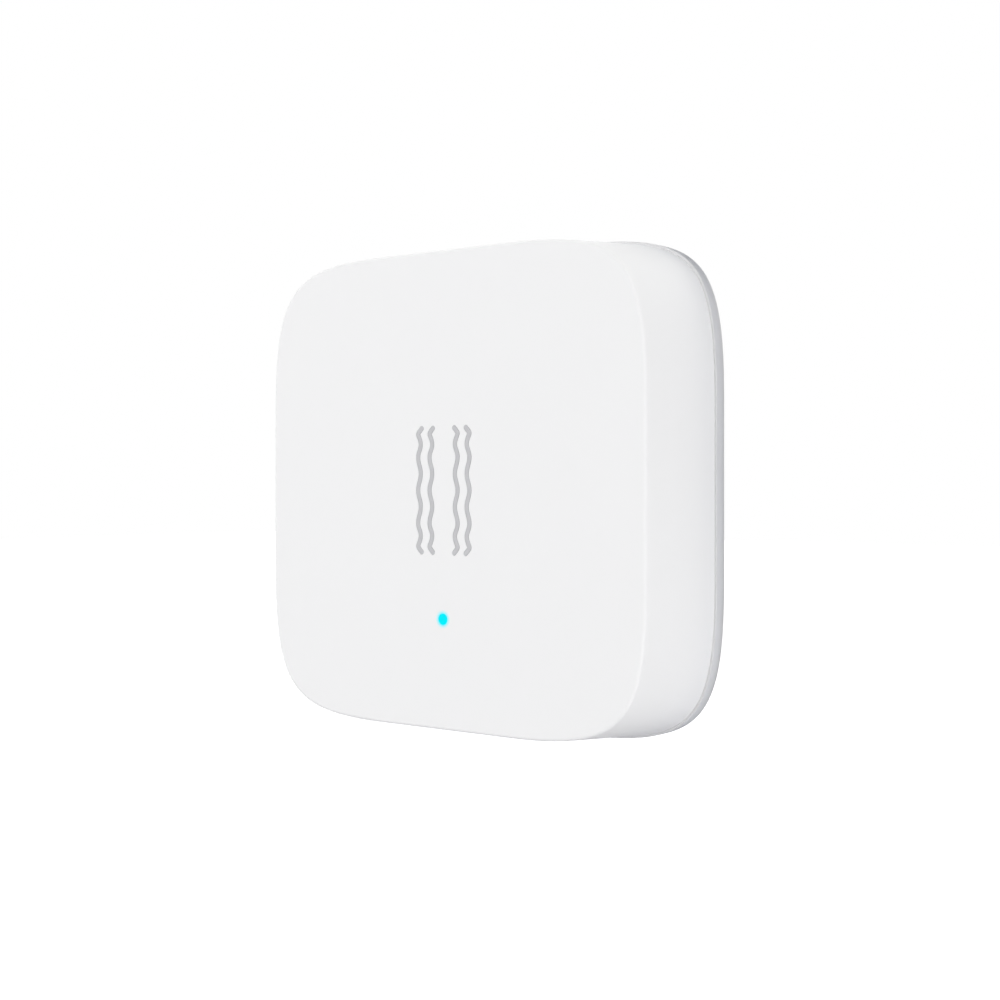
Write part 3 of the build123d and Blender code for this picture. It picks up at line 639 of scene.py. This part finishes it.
def mouldBackMarks():
    mouldArrow("arrow_upper", backLook["arrowFrom"])
    mouldArrow("arrow_lower", backLook["arrowFrom"] + 180)

    tooth = startDisc(backLook["toothSize"], backLook["toothSides"], backLook["toothRadius"], 0)
    raiseMark("rim_tooth", tooth, "battery_door", doorAbs)

    steps, radius = backLook["markSteps"], backLook["markRadius"]
    dot = startDisc(backLook["dotSize"], steps, radius, 0)
    raiseMark("shut_dot", dot, "housing", plateAbs)

    ring = startDisc(backLook["ringSize"], steps, radius, doorTurn)
    middle = ring.faces[:]
    bmesh.ops.inset_region(ring, faces=middle, thickness=backLook["ringWall"] * mm,
                           use_boundary=True)
    bmesh.ops.delete(ring, geom=middle, context="FACES")
    raiseMark("open_ring", ring, "housing", plateAbs)


mouldBackMarks()
print("back marked")

# Camera: found from the edges of the face and the back in the photograph
cameraLook = {
    "place": (93.33, -123.63, 0.69), "turn": 37.933, "lens": 56.8, "shiftUp": -0.0176,
    "near": 1, "far": 100000,
}


def placeCamera():
    data = bpy.data.cameras.new("camera")
    data.lens = cameraLook["lens"]
    data.shift_y = cameraLook["shiftUp"]
    data.clip_start = cameraLook["near"] * mm
    data.clip_end = cameraLook["far"] * mm
    camera = bpy.data.objects.new("camera", data)
    camera.location = [v * mm for v in cameraLook["place"]]
    camera.rotation_euler = (math.pi / 2, 0, math.radians(cameraLook["turn"]))
    bpy.context.scene.collection.objects.link(camera)
    bpy.context.scene.camera = camera


# Studio: a pale floor well below, and a white room that is brightest at the horizon, with soft
# boxes in front, above, behind and low on the right. The boxes don't show in the satin plastic,
# because the photograph has no highlights. A narrow grey card stands round the tag's back, out
# of the camera's sight: it shades the rear edges, so that a white side reads against a white
# room. In millimetres.
studioLook = {
    "floorDrop": 130, "floorSize": 6000, "floorColour": "#A3A3A6", "floorLift": 1,
    "floorGloss": 0.3,
    "roomColour": "#FEFEFE", "horizonLevel": 1.0, "zenithLevel": 0.25,
    "cardGap": 0.3, "cardBand": 2.3, "cardCorner": 14.7, "cardProfile": 0.66, "cardSteps": 10,
    "cardColour": "#727A8E", "cardRoughness": 0.9,
    "boxes": {
        # name: place, size, power in watts
        "frontBox": ((-80, -700, 60), 400, 2.53),
        "topBox": ((60, 330, 750), 500, 3.3),
        "rearBox": ((-250, 700, 250), 500, 1.0),
        "lowBox": ((247, 22, -99), 80, 0.285),
    },
}


def makeStudio():
    scene = bpy.context.scene
    scene.view_settings.view_transform = "Standard"
    world = bpy.data.worlds.new("studio")
    scene.world = world
    world.use_nodes = True
    tree = world.node_tree
    tree.nodes.clear()
    path = addNode(tree, "ShaderNodeLightPath").outputs
    seen = addNode(tree, "ShaderNodeMath", {"operation": "MAXIMUM"},
                   {0: path["Is Camera Ray"], 1: path["Is Glossy Ray"]})
    seen = addNode(tree, "ShaderNodeMath", {"operation": "MAXIMUM"},
                   {0: seen.outputs[0], 1: path["Is Transmission Ray"]})
    way = addNode(tree, "ShaderNodeTexCoord").outputs["Generated"]
    way = addNode(tree, "ShaderNodeSeparateXYZ", {}, {"Vector": way}).outputs
    level = addNode(tree, "ShaderNodeMapRange",
                    {"To Min": studioLook["horizonLevel"], "To Max": studioLook["zenithLevel"]},
                    {"Value": way["Z"]})
    light = addNode(tree, "ShaderNodeBackground", {"Color": linear(studioLook["roomColour"])},
                    {"Strength": level.outputs[0]})
    white = addNode(tree, "ShaderNodeBackground", {"Color": (1, 1, 1, 1), "Strength": 1})
    both = addNode(tree, "ShaderNodeMixShader", {},
                   {0: seen.outputs[0], 1: light.outputs[0], 2: white.outputs[0]})
    addNode(tree, "ShaderNodeOutputWorld", {}, {"Surface": both.outputs[0]})


def makeFloor():
    mesh = bpy.data.meshes.new("floor")
    work = bmesh.new()
    bmesh.ops.create_grid(work, x_segments=1, y_segments=1, size=studioLook["floorSize"] / 2 * mm)
    bmesh.ops.translate(work, verts=work.verts, vec=(0, 0, -studioLook["floorDrop"] * mm))
    work.to_mesh(mesh)
    work.free()
    floor = linkPiece("floor", mesh)
    made = bpy.data.materials.new("paleFloor")
    made.use_nodes = True
    tree = made.node_tree
    tree.nodes.clear()
    # the camera sees it as white as the room, and gloss sees it a little paler than the paper
    path = addNode(tree, "ShaderNodeLightPath").outputs
    gloss = addNode(tree, "ShaderNodeMath", {"operation": "MULTIPLY", 1: studioLook["floorGloss"]},
                    {0: path["Is Glossy Ray"]})
    lift = addNode(tree, "ShaderNodeMath",
                   {"operation": "MULTIPLY_ADD", 1: studioLook["floorLift"]},
                   {0: path["Is Camera Ray"], 2: gloss.outputs[0]})
    paper = addNode(tree, "ShaderNodeBsdfDiffuse", {"Color": linear(studioLook["floorColour"])})
    glow = addNode(tree, "ShaderNodeEmission", {}, {"Strength": lift.outputs[0]})
    both = addNode(tree, "ShaderNodeAddShader", {}, {0: paper.outputs[0], 1: glow.outputs[0]})
    addNode(tree, "ShaderNodeOutputMaterial", {}, {"Surface": both.outputs[0]})
    mesh.materials.append(made)


def standCard():
    # a square ring round the back of the tag, with round corners
    mesh = bpy.data.meshes.new("edge_card")
    work = bmesh.new()
    half = cadBox[1].x + studioLook["cardGap"] * mm
    behind = Matrix.Translation((0, plateRear, 0)) @ Matrix.Rotation(math.pi / 2, 4, "X")
    bmesh.ops.create_grid(work, x_segments=1, y_segments=1, size=half, matrix=behind)
    bmesh.ops.bevel(work, geom=work.verts[:], offset=studioLook["cardCorner"] * mm,
                    segments=studioLook["cardSteps"], profile=studioLook["cardProfile"],
                    affect="VERTICES", material=-1)
    inner = work.faces[:]
    ring = bmesh.ops.extrude_edge_only(work, edges=[e for e in work.edges if e.is_boundary])
    outer = [v for v in ring["geom"] if isinstance(v, bmesh.types.BMVert)]
    grow = 1 + studioLook["cardBand"] * mm / half
    bmesh.ops.scale(work, verts=outer, vec=(grow, 1, grow))
    bmesh.ops.delete(work, geom=inner, context="FACES")
    work.to_mesh(mesh)
    work.free()
    card = linkPiece("edge_card", mesh)
    card.visible_camera = False
    settings = {"Base Color": linear(studioLook["cardColour"]),
                "Roughness": studioLook["cardRoughness"]}
    mesh.materials.append(startMaterial("greyCard", settings)[0])


def hangBoxes():
    for name, (place, size, power) in studioLook["boxes"].items():
        data = bpy.data.lights.new(name, "AREA")
        data.size = size * mm
        data.energy = power
        box = bpy.data.objects.new(name, data)
        box.location = [v * mm for v in place]
        box.rotation_euler = (-box.location).to_track_quat("-Z", "Y").to_euler()
        box.visible_camera = box.visible_glossy = False
        bpy.context.scene.collection.objects.link(box)


placeCamera()
makeStudio()
makeFloor()
standCard()
hangBoxes()
print("studio ready")
